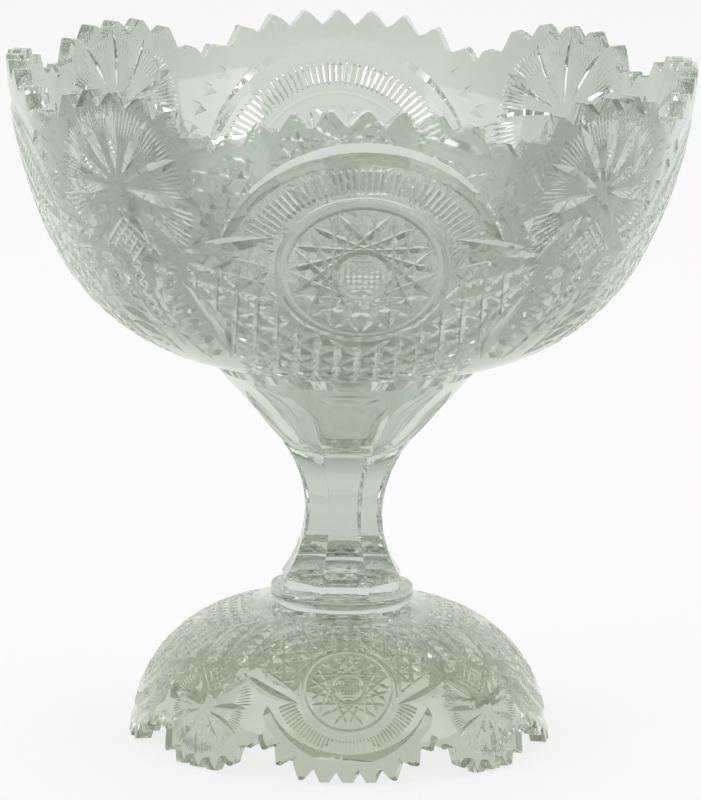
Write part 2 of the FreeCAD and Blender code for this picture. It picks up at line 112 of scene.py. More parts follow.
def direction(lean, around):
    """The unit vector that leans up from level by one angle, at another angle round the axis."""
    lean, around = radians(lean), radians(around)
    return Vector((cos(lean) * cos(around), cos(lean) * sin(around), sin(lean)))


class Skin:
    """A turned surface whose outline is two arcs that run smoothly into each other at one lean."""

    def __init__(self, bend, lean, low_radius, high_radius):
        self.lean = lean
        self.arcs = []
        for radius in (low_radius, high_radius):
            middle = (bend[0] - radius * cos(radians(lean)), bend[1] - radius * sin(radians(lean)))
            self.arcs.append((middle, radius))

    def outline(self, lean, inward=0.0):
        """Distance from the axis and height of the outline, or of the outline moved inward."""
        (across, up), radius = self.arcs[lean > self.lean]
        reach = radius - inward
        return across + reach * cos(radians(lean)), up + reach * sin(radians(lean))

    def outlines(self, first, last, radius, inward=0.0):
        """Places of the outline from one lean to another, a step apart on an arc of that radius."""
        return [self.outline(lean, inward) for lean in leans(first, last, radius)]

    def at(self, lean, around):
        """A point of the surface and its normal there."""
        across, up = self.outline(lean)
        turn = radians(around)
        return Vector((across * cos(turn), across * sin(turn), up)), direction(lean, around)

    def walk(self, lean, length_up):
        """The lean after going a length up the outline from one lean."""
        paces = 64
        for _ in range(paces):
            radius = self.arcs[lean > self.lean][1]
            lean += degrees(length_up / paces / radius)
        return lean

    def drop(self, point, way):
        """The place where a line from point along way meets the surface, and the normal there."""
        tries = 8
        for _ in range(tries):
            for (across, up), radius in self.arcs:
                out = hypot(point.x, point.y) - across
                lean = degrees(atan2(point.z - up, out))
                if lean < self.lean:
                    break
            normal = direction(lean, degrees(atan2(point.y, point.x)))
            gap = hypot(out, point.z - up) - radius
            point = point - way * (gap / normal.dot(way))
        return point, normal


class Chart:
    """A flat sheet of pattern pressed onto a skin along one way, x to the right and y up.

    Its middle is at lean, and it is pressed along the way that leans by tilt. size is the
    sheet's scale, and flip is -1 where its up runs down the skin.
    """

    def __init__(self, skin, lean, tilt, around, size=1.0, flip=1):
        self.skin, self.lean, self.around, self.size, self.flip = skin, lean, around, size, flip
        self.middle = skin.at(lean, around)[0]
        self.out = direction(tilt, around)
        self.right = Vector((-sin(radians(around)), cos(radians(around)), 0)) * size
        self.up = self.out.cross(self.right) * flip

    def __call__(self, x, y):
        return self.skin.drop(self.middle + self.right * x + self.up * y, self.out)

    def read(self, point):
        """Where a point of the glass lies on the sheet."""
        flat = point - self.middle
        return flat.dot(self.right) / self.size ** 2, flat.dot(self.up) / self.size ** 2

    def woven(self, x, length_up):
        """A point at x beside the place that lies a length up the sheet's middle line.

        The length is over the glass itself, so that cells keep their size down a curved side.
        """
        lean = self.skin.walk(self.lean, length_up * self.size * self.flip)
        place = self.skin.at(lean, self.around)[0]
        return self(x, (place - self.middle).dot(self.up) / self.size ** 2)


# ------------------------------------------------------------------ meshes
def mesh_object(name, points, faces):
    mesh = bpy.data.meshes.new(name)
    mesh.from_pydata([tuple(point) for point in points], [], faces)
    work = bmesh.new()
    work.from_mesh(mesh)
    bmesh.ops.recalc_face_normals(work, faces=work.faces)
    work.to_mesh(mesh)
    work.free()
    made = bpy.data.objects.new(name, mesh)
    bpy.context.scene.collection.objects.link(made)
    return made


def turned(name, outline):
    """A solid turned from an outline of (distance from the axis, height), both ends on the axis."""
    points, faces, rings = [], [], []
    for across, up in outline:
        if across < 1e-6:
            rings.append([len(points)] * ROUND)
            points.append((0, 0, up))
            continue
        rings.append([len(points) + step for step in range(ROUND)])
        points += [(across * cos(2 * pi * step / ROUND), across * sin(2 * pi * step / ROUND), up)
                   for step in range(ROUND)]
    for ring, after in zip(rings, rings[1:]):
        for step in range(ROUND):
            beside = (step + 1) % ROUND
            corners = [ring[step], ring[beside], after[beside], after[step]]
            faces.append(list(dict.fromkeys(corners)))
    return mesh_object(name, points, faces)


def arc(start, end, radius, side):
    """Points of the short arc from start to end, with its middle left (1) or right (-1) of the way."""
    half = (Vector(end) - Vector(start)) / 2
    to_middle = Vector((-half.y, half.x)).normalized() * side
    middle = Vector(start) + half + to_middle * sqrt(radius ** 2 - half.length ** 2)
    sweep = 2 * asin(half.length / radius) * side
    count = max(ceil(abs(sweep) * radius / STEP), ceil(abs(degrees(sweep)) / TURN))
    arm = Vector(start) - middle
    return [tuple(middle + Matrix.Rotation(sweep * step / count, 2) @ arm) for step in range(count + 1)]


def leans(first, last, radius):
    """Angles from first to last, a step apart along an arc of that radius."""
    count = ceil(abs(last - first) * pi / 180 * radius / STEP)
    return [first + (last - first) * step / count for step in range(count + 1)]


def tube(rows, size, closed):
    """Faces of a tube of rows of corners, which is closed to a ring or capped at both ends."""
    faces = []
    for row in range(rows if closed else rows - 1):
        here, there = row * size, (row + 1) % rows * size
        for corner in range(size):
            beside = (corner + 1) % size
            faces.append([here + corner, here + beside, there + beside, there + corner])
    if not closed:
        faces.append(list(range(size)))
        faces.append([(rows - 1) * size + corner for corner in reversed(range(size))])
    return faces


class Cutter:
    """Closed shapes that are taken off a piece together. None of them may touch another."""

    def __init__(self):
        self.points = []
        self.faces = []

    def add(self, points, faces):
        start = len(self.points)
        self.points += points
        self.faces += [[start + corner for corner in face] for face in faces]

    def groove(self, path, section, depth, closed=False):
        """Add a wheel's cut along a path of (point, normal) pairs.

        section gives (across, height) of each corner of the wheel's edge over its lowest line,
        and depth gives how deep that line runs for each share of the way.
        """
        points = []
        last = len(path) - 1
        for number, (point, normal) in enumerate(path):
            if closed:
                before, after = path[number - 1][0], path[(number + 1) % len(path)][0]
            else:
                before, after = path[max(number - 1, 0)][0], path[min(number + 1, last)][0]
            beside = normal.cross(after - before).normalized()
            deep = depth(number / last)
            edge = section(number / last) if callable(section) else section
            points += [point + beside * across + normal * (height - deep) for across, height in edge]
        self.add(points, tube(len(path), len(edge), closed))


def subtract(piece, cutter):
    """Take a cutter off a piece."""
    tool = mesh_object("tool", cutter.points, cutter.faces)
    modifier = piece.modifiers.new("cut", "BOOLEAN")
    modifier.operation = "DIFFERENCE"
    modifier.solver = "MANIFOLD"
    modifier.object = tool
    shape = piece.evaluated_get(bpy.context.evaluated_depsgraph_get())
    left = bpy.data.meshes.new_from_object(shape)
    piece.modifiers.clear()
    spent = (piece.data, tool.data)
    piece.data = left
    bpy.data.objects.remove(tool)
    for mesh in spent:
        bpy.data.meshes.remove(mesh)


def cut(piece, cutter):
    """Take a cutter off a piece, once in each of its panels."""
    whole = Cutter()
    for panel in range(PANELS):
        turn = Matrix.Rotation(2 * pi * panel / PANELS, 3, "Z")
        whole.add([turn @ point for point in cutter.points], cutter.faces)
    subtract(piece, whole)


def by_turns(count):
    """Numbers up to count, every other one and then the rest, so that neighbours aren't cut together."""
    return range(0, count, 2), range(1, count, 2)


# ------------------------------------------------------------------ wheels
def mitre(slope, depth):
    """A V edge: half width grows by slope for each millimetre of height."""
    tall = depth + CLEAR
    return [(-slope * tall, tall), (0, 0), (slope * tall, tall)]


def leaf(right, left, depth):
    """A V edge with its own width at that depth on each side of the way it travels."""
    tall = depth + CLEAR
    return [(-right / depth * tall, tall), (0, 0), (left / depth * tall, tall)]


def paired_leaf(side, right, left, depth):
    """A leaf for the right of a panel (1), or its mirror image for the left (-1)."""
    return leaf(right, left, depth) if side > 0 else leaf(left, right, depth)


def rounded(radius):
    """A round edge of that radius."""
    flats = 20
    turns = [pi * step / flats for step in range(flats + 1)]
    return [(-radius * cos(turn), radius * (1 - sin(turn))) for turn in turns]


def spindle(depth, peak=0.5):
    """Depth along a cut that is deepest at one share of the way and comes out at both ends."""
    over = 0.3

    def deep(share):
        side = share / peak if share < peak else (1 - share) / (1 - peak)
        swell = sin(pi / 2 * side)
        return depth * swell - over * (1 - swell)
    return deep


def level(depth, run=0.06):
    """An even depth, with short runs out at both ends."""
    over = 0.4

    def deep(share):
        end = min(share, 1 - share) / run
        return depth if end >= 1 else -over + (depth + over) * max(end, 0) ** 0.6
    return deep


def even(depth):
    return lambda share: depth


# ------------------------------------------------------------------ paths
# place turns (x, y) on a sheet into a point of the glass and its normal.
def spots(start, end, count):
    """Evenly spaced places of a sheet from start to end."""
    return [tuple(first + (last - first) * number / count for first, last in zip(start, end))
            for number in range(count + 1)]


def length(start, end):
    return hypot(end[0] - start[0], end[1] - start[1])


def along(place, start, end, step=STEP):
    """A straight path between two places of a sheet."""
    count = max(2, ceil(length(start, end) / step))
    return [place(*spot) for spot in spots(start, end, count)]


def spoke(place, angle, near, far, side=1, sink=0, step=STEP):
    """A straight path outward at an angle, on the right (1) or left (-1), from a hub sunk that far."""
    across, up = side * cos(radians(angle)), sin(radians(angle))
    return along(place, (across * near, up * near - sink), (across * far, up * far - sink), step)


def bow(place, middle, radius, first, last, step=STEP):
    """An arc on a sheet, between two angles."""
    count = max(3, ceil(abs(last - first) * pi / 180 * radius / step))
    turns = [radians(first + (last - first) * number / count) for number in range(count + 1)]
    return [place(middle[0] + radius * cos(turn), middle[1] + radius * sin(turn)) for turn in turns]


def through(place, start, midway, end):
    """An arc on a sheet through three places."""
    (ax, ay), (bx, by), (cx, cy) = start, midway, end
    a, b, c = (x * x + y * y for x, y in (start, midway, end))
    twice = 2 * (ax * (by - cy) + bx * (cy - ay) + cx * (ay - by))
    x = (a * (by - cy) + b * (cy - ay) + c * (ay - by)) / twice
    y = (a * (cx - bx) + b * (ax - cx) + c * (bx - ax)) / twice
    first = degrees(atan2(ay - y, ax - x))
    last = degrees(atan2(cy - y, cx - x))
    last = first + (last - first + 180) % 360 - 180
    return bow(place, (x, y), hypot(ax - x, ay - y), first, last)


def between(places, share):
    """The place at a share of the way along a smooth line through three places."""
    weights = ((1 - share) * (1 - 2 * share), 4 * share * (1 - share), share * (2 * share - 1))
    return tuple(sum(weight * place[axis] for weight, place in zip(weights, places)) for axis in (0, 1))


def mirrored(places, side):
    """Places given for the right of a panel, on that side (1) or on the left (-1)."""
    return [(side * x, y) for x, y in places]


def hoop(chart, radius):
    """A closed circle on a chart."""
    return bow(chart, (0, 0), radius, 0, 360, step=3.0)[:-1]


def runs(inside, start, end):
    """The stretches of a straight way that lie inside a region, as pairs of places."""
    least, step = 4.0, 1.5
    found, stretch = [], []
    for spot in spots(start, end, ceil(length(start, end) / step)) + [None]:
        if spot and inside(*spot):
            stretch.append(spot)
            continue
        if len(stretch) > 1 and length(stretch[0], stretch[-1]) > least:
            found.append((stretch[0], stretch[-1]))
        stretch = []
    return found


# ------------------------------------------------------------------ the saw teeth
def tooth_tips(pitch, hobstar_fall, fan_fall, valley):
    """(angle, drop) of a rim's tips through one panel, from a hobstar's middle to the next one's."""
    hobstar_teeth, fan_teeth, valley_angle, valley_pitch, fan_pitch = 3, 2, 25.65, 4.3, 5.85
    tips = [(step * pitch, hobstar_fall * (step / hobstar_teeth) ** 3) for step in range(hobstar_teeth + 1)]
    tips += [(valley_angle + side * valley_pitch / 2, valley) for side in (-1, 1)]
    tips += [(45 - step * fan_pitch, fan_fall * (step / fan_teeth) ** 3) for step in range(fan_teeth, -1, -1)]
    tips += [(90 - angle, drop) for angle, drop in reversed(tips[:-1])]
    return tips


def toothed(radius, tips, tooth):
    """Corners (angle, drop) of the rim between the tips: a blunt tip, then a notch."""
    width, ease = 2.7, 0.4     # of a tip where it turns into a notch, and how far it has fallen there
    flat, shoulder = 0.22 * width, 0.5 * width
    lean = 0.6                 # 0 for upright notches on a slanting rim, and 1 for notches square to it
    corners = []
    to_angle = 180 / pi / radius
    for (left, left_drop), (right, right_drop) in zip(tips, tips[1:]):
        run, fall = (right - left) / to_angle, right_drop - left_drop
        slant = hypot(run, fall)
        bottom = (left_drop + right_drop) / 2 + tooth * run / slant
        middle = (left + right) / 2 - lean * tooth * fall / slant * to_angle
        corners += [(left + flat * to_angle, left_drop), (left + shoulder * to_angle, left_drop + ease)]
        corners += [(middle, bottom)]
        corners += [(right - shoulder * to_angle, right_drop + ease), (right - flat * to_angle, right_drop)]
    return corners


def cut_teeth(piece, radius, tips, tooth, height_of, thickness):
    """Take the notches off a rim with one toothed ring, which bites deeper outside than inside."""
    inner, outer = radius - 3 * thickness, radius + thickness
    bevel = 0.13 * (outer - inner)     # how much deeper the ring bites at its outer edge
    beyond = -10                       # the drop of its far side, clear of the rim
    shallows = toothed(radius, tips, tooth - 0.7 * bevel)
    deeps = toothed(radius, tips, tooth + 0.3 * bevel)
    around = [(angle + 90 * panel, shallow, deep) for panel in range(PANELS)
              for (angle, shallow), (_, deep) in zip(shallows, deeps)]
    points = []
    for angle, shallow, deep in around:
        way = direction(0, angle)
        for distance, drop in ((inner, shallow), (outer, deep), (outer, beyond), (inner, beyond)):
            points.append(way * distance + Vector((0, 0, height_of(drop))))
    ring = Cutter()
    ring.add(points, tube(len(around), 4, closed=True))
    subtract(piece, ring)


# ------------------------------------------------------------------ the pattern that both pieces share
# Sizes are those of the bowl's sheets, and deep is a share of the bowl's depths.
def cut_hobstar(piece, chart, deep=1.0):
    """A star of sixteen points in a ring, with a hatched button in its middle."""
    points, skip, reach = 16, 6, 33.0
    depth = 1.25 * deep
    for first in range(points // 2):
        pair = Cutter()
        for start in (first, first + points // 2):
            corners = [(reach * sin(2 * pi * corner / points), reach * cos(2 * pi * corner / points))
                       for corner in (start, start + skip)]
            pair.groove(along(chart, *corners), mitre(1.45, depth), level(depth, 0.1))
        cut(piece, pair)
    ring = Cutter()
    ring.groove(hoop(chart, RING), rounded(5.2 * deep), even(1.0 * deep), closed=True)
    cut(piece, ring)
    cut_button(piece, chart, 0.8 * deep)


def cut_button(piece, chart, depth):
    """A disc of fine lines that cross squarely."""
    radius, pitch = 11.6, 2.5
    lines = int(radius / pitch)
    for turn in (0, 90):
        hatch = Cutter()
        for step in range(-lines, lines + 1):
            x = step * pitch
            y = sqrt(radius ** 2 - x ** 2)
            ends = [(x * cos(radians(turn)) - y * side * sin(radians(turn)),
                     x * sin(radians(turn)) + y * side * cos(radians(turn))) for side in (-1, 1)]
            hatch.groove(along(chart, *ends), mitre(0.9, depth), level(depth, 0.12))
        cut(piece, hatch)


def cut_arch(piece, chart, deep=1.0):
    """A band of flutes over the ring, and the broad groove over them."""
    first, last, sink = 14.0, 166.0, 6.0     # sink is how far the arch's hub lies under the ring's
    near, reach, pitch = 38.8, 57.0, 3.7
    flute_depth, arch_depth = 1.0 * deep, 2.6 * deep
    count = round((last - first) / pitch)
    for numbers in by_turns(count + 1):
        flutes = Cutter()
        for number in numbers:
            angle = first + (last - first) * number / count
            fall = sink * sin(radians(angle))
            far = -fall + sqrt(fall ** 2 + reach ** 2 - sink ** 2)
            flutes.groove(spoke(chart, angle, near, far, step=3.0), mitre(1.25, flute_depth),
                          level(flute_depth, 0.16))
        cut(piece, flutes)

    def edge(share):
        """One side is narrow at the ends of the arch and about as wide as the other at its top."""
        return leaf(0.8 + 4.2 * sin(pi * share) ** 2, 4.7, arch_depth)

    arch = Cutter()
    arch.groove(bow(chart, (0, -sink), 62.0, first - 1, last + 1), edge, level(arch_depth, 0.05))
    cut(piece, arch)


def cut_leaves(piece, chart, ends, deep=1.0):
    """The two long leaves that spread from the ring, just under the arch."""
    depth = 2.6 * deep
    leaves = Cutter()
    for side in (-1, 1):
        leaves.groove(through(chart, *mirrored(ends, side)), mitre(1.4, depth), level(depth, 0.4))
    cut(piece, leaves)


def cut_ladders(piece, place, keel, outer, rungs, deep=1.0):
    """Down each side of the cane a leaf with one wide side, a row of steps beside it and a line round them.

    keel and outer are three places each on the right.
    """
    leaf_depth, line_depth, step_depth = 3.2 * deep, 1.4 * deep, 2.7 * deep
    leaves, lines = Cutter(), Cutter()
    for side in (-1, 1):
        leaves.groove(through(place, *mirrored(keel, side)),
                      paired_leaf(side, 7.2 * deep, 1.8 * deep, leaf_depth), spindle(leaf_depth, 0.45))
        lines.groove(through(place, *mirrored(outer, side)), mitre(1.2, line_depth), level(line_depth))
    cut(piece, leaves)
    cut(piece, lines)
    keel_lead, outer_lead, gap = 0.03, 0.1, 0.1
    for numbers in by_turns(rungs):
        steps = Cutter()
        for side in (-1, 1):
            for number in numbers:
                share = number / rungs
                (ax, ay), (bx, by) = between(keel, share + keel_lead), between(outer, share + outer_lead)
                start = (side * (ax + gap * (bx - ax)), ay + gap * (by - ay))
                steps.groove(along(place, start, (side * bx, by)),
                             paired_leaf(side, 1.5 * deep, 6.2 * deep, step_depth), level(step_depth, 0.1))
        cut(piece, steps)


def cut_steps(piece, chart):
    """Four short steps beside each end of the arch."""
    first, pitch, near, far, sink, depth = 17, 8.3, 67.5, 77, 6, 2.7
    for numbers in by_turns(4):
        steps = Cutter()
        for side in (-1, 1):
            for number in numbers:
                steps.groove(spoke(chart, first + pitch * number, near, far, side, sink),
                             paired_leaf(side, 6.0, 1.2, depth), level(depth, 0.12))
        cut(piece, steps)


def cut_field(piece, chart, inside, families, step):
    """Families of parallel lines, each with its own depth, over a region of the woven sheet."""
    for depth, family in families:
        field = Cutter()
        for start, end in family:
            for low, high in runs(inside, start, end):
                field.groove(along(chart.woven, low, high, step), mitre(1.55, depth), level(depth, 0.04))
        cut(piece, field)


def slanting(pitch, shift, way):
    """Ends of lines that slant up to the right (1) or to the left (-1)."""
    count = ceil(2 * FIELD_REACH / pitch)
    return [((-FIELD_REACH, step * pitch + shift - way * FIELD_REACH),
             (FIELD_REACH, step * pitch + shift + way * FIELD_REACH)) for step in range(-count, count)]


def cut_cane(piece, chart, inside, pitch, deep=1.0):
    """Crossing cuts, upright, level and both ways aslant."""
    count = ceil(FIELD_REACH / pitch)
    places = [step * pitch for step in range(-count, count + 1)]
    upright = [((place, -FIELD_REACH), (place, FIELD_REACH)) for place in places]
    flat = [((-FIELD_REACH, place), (FIELD_REACH, place)) for place in places]
    shift = 0.31 * pitch
    cut_field(piece, chart, inside, [
        (1.2 * deep, upright),
        (1.1 * deep, flat),
        (0.9 * deep, slanting(2 * pitch, shift, 1)),
        (0.7 * deep, slanting(2 * pitch, shift, -1)),
    ], 6.1)


def cut_hatch(piece, chart, pitch, deep=1.0):
    """A kite of fine diamonds under a fan, with a tail that runs down between the ladders."""
    kite_top, kite_foot, kite_slope, tail_half, tail_foot = -9, -33, 1.1, 5.5, -75

    def inside(x, y):
        in_kite = kite_foot < y < kite_top - kite_slope * abs(x)
        return in_kite or (abs(x) < tail_half and tail_foot < y <= kite_foot)

    shift = 0.2 * pitch
    cut_field(piece, chart, inside, [
        (0.7 * deep, slanting(pitch, shift, 1)),
        (0.6 * deep, slanting(pitch, shift, -1)),
    ], 5.3)


def cut_fan_skirt(piece, chart, deep=1.0):
    """Under a fan's rays a second spray on each side, two broad bands and two short hollows."""
    cuts, first, pitch, near, far, depth = 7, -15, 4.0, 23, 43, 0.9 * deep
    for numbers in by_turns(cuts):
        spray = Cutter()
        for side in (-1, 1):
            for number in numbers:
                spray.groove(spoke(chart, first - pitch * number, near, far, side), mitre(0.9, depth),
                             spindle(depth, 0.7))
        cut(piece, spray)
    band, band_depth = ((8.5, -8.5), (31, -33)), 1.3 * deep
    hollow, hollow_depth = ((9, -39), (23, -36)), 1.8 * deep
    bands, hollows = Cutter(), Cutter()
    for side in (-1, 1):
        bands.groove(along(chart, *mirrored(band, side)), mitre(4.0, band_depth), spindle(band_depth, 0.4))
        hollows.groove(along(chart, *mirrored(hollow, side), step=3.0), rounded(4.5 * deep),
                       spindle(hollow_depth))
    cut(piece, bands)
    cut(piece, hollows)


def cut_fan_star(piece, chart, deep=1.0):
    """Seven long rays that fan out toward the rim, with fine flares between them."""
    rays, spread, near, far, depth = 7, 33.3, 3.2, 38, 2.5 * deep
    for numbers in by_turns(rays):
        star = Cutter()
        for number in numbers:
            angle = 90 + (number - (rays - 1) / 2) * spread
            star.groove(spoke(chart, angle, near, far), mitre(1.35, depth), spindle(depth, 0.62))
        cut(piece, star)
    cut_flares(piece, chart, rays - 1, spread, far, 0.9 * deep)


def cut_flares(piece, chart, wedges, spread, far, depth):
    """Seven fine cuts in each wedge between two rays."""
    flares, pitch, near = 7, 3.6, 20
    for numbers in by_turns(flares):
        fine = Cutter()
        for wedge in range(wedges):
            for number in numbers:
                angle = 90 + (wedge - (wedges - 1) / 2) * spread + (number - (flares - 1) / 2) * pitch
                fine.groove(spoke(chart, angle, near, far), mitre(0.9, depth), spindle(depth, 0.7))
        cut(piece, fine)


# ------------------------------------------------------------------ the bowl
def bowl_blank(skin):
    """The bowl before it is cut, from the middle of its base round the rim to the middle inside."""
    (low_across, _), low_radius = skin.arcs[0]
    (_, high_up), high_radius = skin.arcs[1]
    base_lean = -degrees(acos((BASE_RADIUS - low_across) / low_radius))
    rim_lean = degrees(asin((RIM_TOP - high_up) / high_radius))
    rim_inner = degrees(asin((RIM_TOP - high_up) / (high_radius - BOWL_WALL)))
    floor_lean = -degrees(acos((FLOOR_RADIUS - low_across) / (low_radius - BOWL_WALL)))
    outline = [(0, SEAT), (BASE_RADIUS / 2, SEAT)]
    outline += skin.outlines(base_lean, skin.lean, low_radius)
    outline += skin.outlines(skin.lean + NEAR, rim_lean, high_radius)[1:]
    outline += skin.outlines(rim_inner, skin.lean + NEAR, high_radius, BOWL_WALL)
    outline += skin.outlines(skin.lean, floor_lean, low_radius, BOWL_WALL)[1:]
    outline += [(FLOOR_RADIUS / 2, SEAT + BOWL_FLOOR), (0, SEAT + BOWL_FLOOR)]
    return turned("cut_bowl", outline)


def bowl_cane_region(chart):
    """Says which places of the woven sheet lie under the leaves, off the ring and between the ladders."""
    leaf_start, leaf_height, leaf_fall = 36, 12.5, 0.52
    ladder_across, ladder_under, ladder_radius = 162.5, 90.5, 113.5
    lowest_lean = -80

    def inside(x, length_up):
        point, normal = chart.woven(x, length_up)
        x, y = chart.read(point)
        under_leaf = y < leaf_height - max(abs(x) - leaf_start, 0) * leaf_fall
        beside_ladder = hypot(abs(x) - ladder_across, y + ladder_under) > ladder_radius
        off_ring = hypot(x, y) > CANE_START
        return off_ring and under_leaf and beside_ladder and degrees(asin(normal.z)) > lowest_lean
    return inside


def make_bowl():
    skin = Skin(BOWL_BEND, BOWL_LEAN, BOWL_LOW_ARC, BOWL_HIGH_ARC)
    bowl = bowl_blank(skin)
    tips = tooth_tips(pitch=5.9, hobstar_fall=6.8, fan_fall=5.0, valley=15.0)
    cut_teeth(bowl, RIM_RADIUS, tips, BOWL_NOTCH, lambda drop: RIM_TOP - drop, BOWL_WALL)
    hobstar_lean, fan_lean = -24, -13.8
    hobstar = Chart(skin, hobstar_lean, BOWL_LEAN, FRONT)
    fan = Chart(skin, fan_lean, fan_lean, BESIDE)
    cut_cane(bowl, hobstar, bowl_cane_region(hobstar), pitch=8.8)
    keel = ((77.5, -18.5), (63.5, -36), (53.7, -66))
    outer = ((88, -28), (78, -49), (60, -73))
    cut_ladders(bowl, hobstar, keel, outer, rungs=6)
    cut_leaves(bowl, hobstar, ((35.5, 16.2), (56.0, 7.5), (79.0, -5.0)))
    cut_hobstar(bowl, hobstar)
    cut_arch(bowl, hobstar)
    cut_steps(bowl, hobstar)
    cut_hatch(bowl, fan, pitch=5.2)
    cut_fan_skirt(bowl, fan)
    cut_fan_star(bowl, fan)
    return bowl


# ------------------------------------------------------------------ the stand
def stand_blank(skin):
    """The stand before it is cut, from the middle of its cup over the foot to the middle beneath."""
    (low_across, _), low_radius = skin.arcs[0]
    (high_across, _), high_radius = skin.arcs[1]
    shoulder_lean = degrees(acos((SHOULDER_RADIUS - high_across) / high_radius))
    foot_lean = degrees(acos((FOOT_RADIUS - low_across) / low_radius))
    outline = [(0, CUP_FLOOR[1])]
    outline += arc(CUP_FLOOR, CUP_CORNER, CUP_ARC, 1)
    outline += [(CUP_MOUTH, SEAT), (LIP_RADIUS, SEAT), (LIP_RADIUS, SEAT - LIP_HEIGHT)]
    outline += stem_outline()
    outline += arc(STEM_FOOT, COLLAR_FOOT, COLLAR_ARC, -1)[1:]
    outline += skin.outlines(shoulder_lean, skin.lean + NEAR, high_radius)
    outline += skin.outlines(skin.lean, foot_lean, low_radius)[1:]
    outline += [(FOOT_RADIUS - FOOT_WALL, 0)]
    outline += skin.outlines(foot_lean + 1, skin.lean, low_radius, FOOT_WALL)
    outline += skin.outlines(skin.lean + NEAR, shoulder_lean, high_radius, FOOT_WALL)[1:]
    outline += [(0, outline[-1][1])]
    return turned("cut_stand", outline)


def stem_outline():
    """From the foot of the cone under the cup, by the waist, to the foot of the stem."""
    return arc(CONE_FOOT, WAIST, CONE_ARC, 1) + arc(WAIST, STEM_FOOT, STEM_ARC, 1)[1:]


def flute_line(share, foot):
    """Distance and height down the bottom of a flute, from its arched top to the collar.

    share is how much of the blank's radius the flute leaves, and over is that at its very top.
    """
    arch_foot, arch_rise, over = 151.0, 15.2, 1.002
    (foot_across, foot_up), (top_across, top_up) = CONE_FOOT, CONE_TOP
    line = []
    for turn in range(90, -1, -15):
        up = arch_foot + arch_rise * sin(radians(turn))
        across = foot_across + (top_across - foot_across) * (up - foot_up) / (top_up - foot_up)
        line.append((across * (over - (over - share) * cos(radians(turn)) ** 2), up))
    line += [(across * share, up) for across, up in stem_outline()]
    return line + [(STEM_FOOT[0] * share, foot)]


def cut_stem_flutes(piece):
    """Eight hollow flutes down the cup and stem, arched at the top and pointed in the collar."""
    flutes, share, hollow, foot = 8, 0.924, 0.4, 69.5
    spare, outside_half = 1.5, 30.0
    top_reach, foot_reach = 60.0, 62.0     # where the back of the cutter runs, outside the glass
    across_steps = 8
    wide = across_steps + 1
    line = [(top_reach, CONE_TOP[1])] + flute_line(share, foot) + [(foot_reach, foot)]
    rows = len(line)
    faces = []
    for row in range(rows):
        here, there = row * wide, (row + 1) % rows * wide
        for step in range(across_steps):
            faces.append([here + step, here + step + 1, there + step + 1, there + step])
    for edge in (0, across_steps):
        faces.append([row * wide + edge for row in range(rows)])
    for first in range(flutes // 2):
        pair = Cutter()
        for flute in (first, first + flutes // 2):
            turn = Matrix.Rotation(2 * pi * flute / flutes, 3, "Z")
            points = []
            for distance, up in line:
                in_glass = distance < LIP_RADIUS + spare
                half = distance * tan(pi / flutes) + spare if in_glass else outside_half
                for step in range(wide):
                    sideways = -1 + 2 * step / across_steps
                    curve = hollow * (sideways ** 2 - 1) if in_glass else 0
                    points.append(turn @ Vector((sideways * half, -(distance + curve), up)))
            pair.add(points, faces)
        subtract(piece, pair)


def foot_cane_region(chart):
    """Says which places of the woven sheet lie under the leaves, off the ring and between the ladders."""
    leaf_start, leaf_height, leaf_fall = 34, 9, 0.85
    widest, highest_lean = 31, 84

    def inside(x, length_up):
        point, normal = chart.woven(x, length_up)
        x, y = chart.read(point)
        under_leaf = y < leaf_height - max(abs(x) - leaf_start, 0) * leaf_fall
        off = abs(degrees(atan2(point.x, -point.y)))
        off_ring = hypot(x, y) > CANE_START
        return off_ring and under_leaf and off < widest and degrees(asin(normal.z)) < highest_lean
    return inside


def make_stand():
    skin = Skin(FOOT_BEND, FOOT_LEAN, FOOT_LOW_ARC, FOOT_HIGH_ARC)
    stand = stand_blank(skin)
    cut_stem_flutes(stand)
    tips = tooth_tips(pitch=6.3, hobstar_fall=8.0, fan_fall=5.0, valley=14.0)
    cut_teeth(stand, FOOT_RADIUS, tips, FOOT_NOTCH, lambda rise: rise, FOOT_WALL)
    hobstar_lean, fan_lean = 41, 25.5
    hobstar = Chart(skin, hobstar_lean, hobstar_lean, FRONT, FOOT_PATTERN, -1)
    fan = Chart(skin, fan_lean, fan_lean, BESIDE, FOOT_PATTERN, -1)
    cut_cane(stand, hobstar, foot_cane_region(hobstar), pitch=9.5, deep=0.75)

    def on_dome(off, lean):
        return skin.at(lean, off + FRONT)

    keel = ((34, 46), (31.5, 62), (30, 80))
    outer = ((43.2, 47), (42.8, 62), (41.5, 79))
    cut_ladders(stand, on_dome, keel, outer, rungs=7, deep=0.75)
    cut_leaves(stand, hobstar, ((34.0, 12.0), (62.0, -4.0), (79.0, -25.0)), deep=0.7)
    cut_hobstar(stand, hobstar, deep=0.65)
    cut_arch(stand, hobstar, deep=0.65)
    cut_hatch(stand, fan, pitch=6.5, deep=0.65)
    cut_fan_skirt(stand, fan, deep=0.65)
    cut_fan_star(stand, fan, deep=0.65)
    return stand


